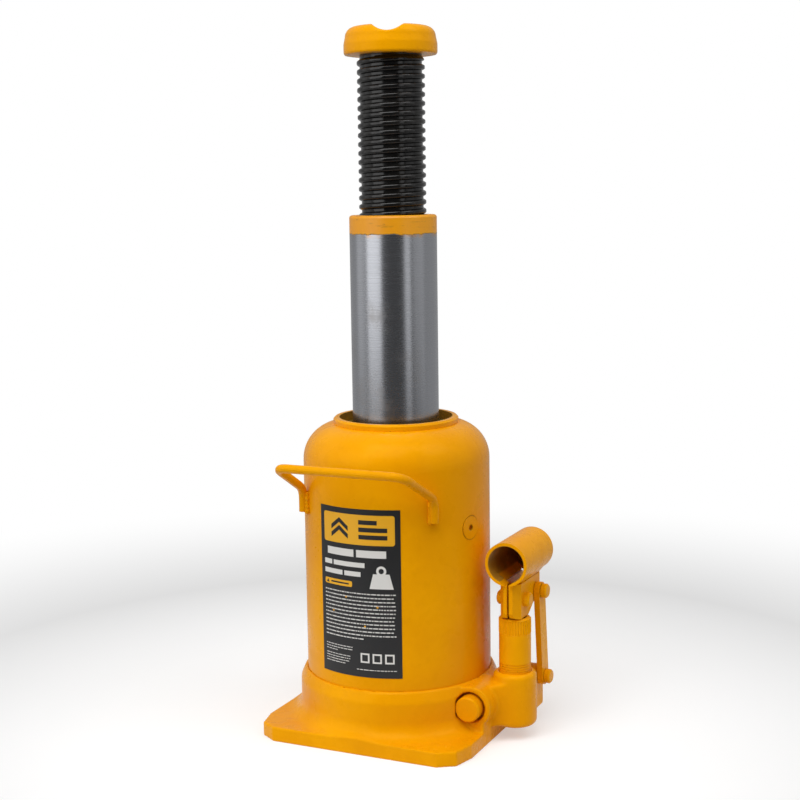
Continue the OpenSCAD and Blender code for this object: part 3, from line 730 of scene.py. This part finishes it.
def make_floor():
    """A matt pale floor that fades into the white backdrop away from the jack."""
    s = Shader("studio_floor")
    reach = s.node("ShaderNodeVectorMath", operation="LENGTH")
    s.link(s.coord, reach.inputs[0])
    far = s.ramp(reach.outputs["Value"], 0.12, 0.75)
    paper = s.mix(s.noise(3, 3), (0.60, 0.60, 0.60), (0.63, 0.63, 0.63))
    s.link(s.mix(far, paper, (0, 0, 0)), s.bsdf.inputs["Base Color"])
    toward = s.node("ShaderNodeVectorMath", operation="DOT_PRODUCT")
    s.link(s.coord, toward.inputs[0])
    toward.inputs[1].default_value = around(1, CAMERA_AZIMUTH, 0)
    room = s.ramp(toward.outputs["Value"], *ROOM_FADE, ROOM_BACK, ROOM_FRONT)
    glow = s.node("ShaderNodeMix", data_type="FLOAT")
    s.link(s.node("ShaderNodeLightPath").outputs["Is Camera Ray"], glow.inputs["Factor"])
    s.link(room, glow.inputs[2])
    glow.inputs[3].default_value = BACKDROP
    level = s.math("MAXIMUM", far, FLOOR_NEAR)
    s.link(s.math("MULTIPLY", level, glow.outputs[0]), s.bsdf.inputs["Emission Strength"])
    s.set(roughness=0.9, emission_color=(1, 1, 1, 1), specular_ior_level=0.0)
    work = bmesh.new()
    bmesh.ops.create_grid(work, x_segments=2, y_segments=2, size=20)
    mesh = bpy.data.meshes.new("studio_floor")
    work.to_mesh(mesh)
    work.free()
    mesh.materials.append(s.material)
    floor = bpy.data.objects.new("studio_floor", mesh)
    bpy.context.scene.collection.objects.link(floor)


def softbox(name, azimuth, distance, height, width, tall, power):
    """An area light at an azimuth from the camera's line, in degrees, aimed at the jack."""
    data = bpy.data.lights.new(name, "AREA")
    data.shape = "RECTANGLE"
    data.size = width
    data.size_y = tall
    data.energy = power
    light = bpy.data.objects.new(name, data)
    bpy.context.scene.collection.objects.link(light)
    place = around(distance, CAMERA_AZIMUTH + math.radians(azimuth), height)
    aim = Vector((0, 0, 0.25)) - place
    turn = aim.to_track_quat("-Z", "Y").to_matrix().to_4x4()
    light.matrix_world = Matrix.Translation(place) @ turn


def make_world():
    """A dim studio that is darkest behind the camera, seen as plain white by the camera."""
    world = bpy.data.worlds.new("studio")
    bpy.context.scene.world = world
    world.use_nodes = True
    tree = world.node_tree
    sky = tree.nodes["Background"]
    direction = tree.nodes.new("ShaderNodeTexCoord")
    toward = tree.nodes.new("ShaderNodeVectorMath")
    toward.operation = "DOT_PRODUCT"
    toward.inputs[1].default_value = around(1, CAMERA_AZIMUTH, 0)
    tree.links.new(direction.outputs["Generated"], toward.inputs[0])
    fade = tree.nodes.new("ShaderNodeMapRange")
    fade.interpolation_type = "SMOOTHSTEP"
    limits = {"From Min": ROOM_FADE[0], "From Max": ROOM_FADE[1],
              "To Min": ROOM_BACK, "To Max": ROOM_FRONT}
    for key, number in limits.items():
        fade.inputs[key].default_value = number
    tree.links.new(toward.outputs["Value"], fade.inputs["Value"])
    seen = tree.nodes.new("ShaderNodeLightPath")
    pick = tree.nodes.new("ShaderNodeMix")
    pick.data_type = "FLOAT"
    tree.links.new(seen.outputs["Is Camera Ray"], pick.inputs["Factor"])
    tree.links.new(fade.outputs["Result"], pick.inputs[2])
    pick.inputs[3].default_value = BACKDROP
    sky.inputs["Color"].default_value = (1, 1, 1, 1)
    tree.links.new(pick.outputs[0], sky.inputs["Strength"])


bpy.context.scene.view_settings.view_transform = "Standard"
make_floor()
softbox("left_box", -54, 1.5, 0.75, 1.25, 1.5, 9.2)
softbox("left_rear_box", -95, 1.5, 0.75, 1.0, 1.5, 1.6)
softbox("right_box", 36, 1.5, 0.65, 0.45, 1.5, 2.0)
softbox("right_rear_box", 68, 1.5, 0.65, 1.0, 1.5, 1.9)
softbox("right_high", 62, 1.0, 1.5, 0.8, 0.8, 5.5)
softbox("top_box", -20, 0.9, 1.7, 1.3, 1.3, 19.5)
make_world()
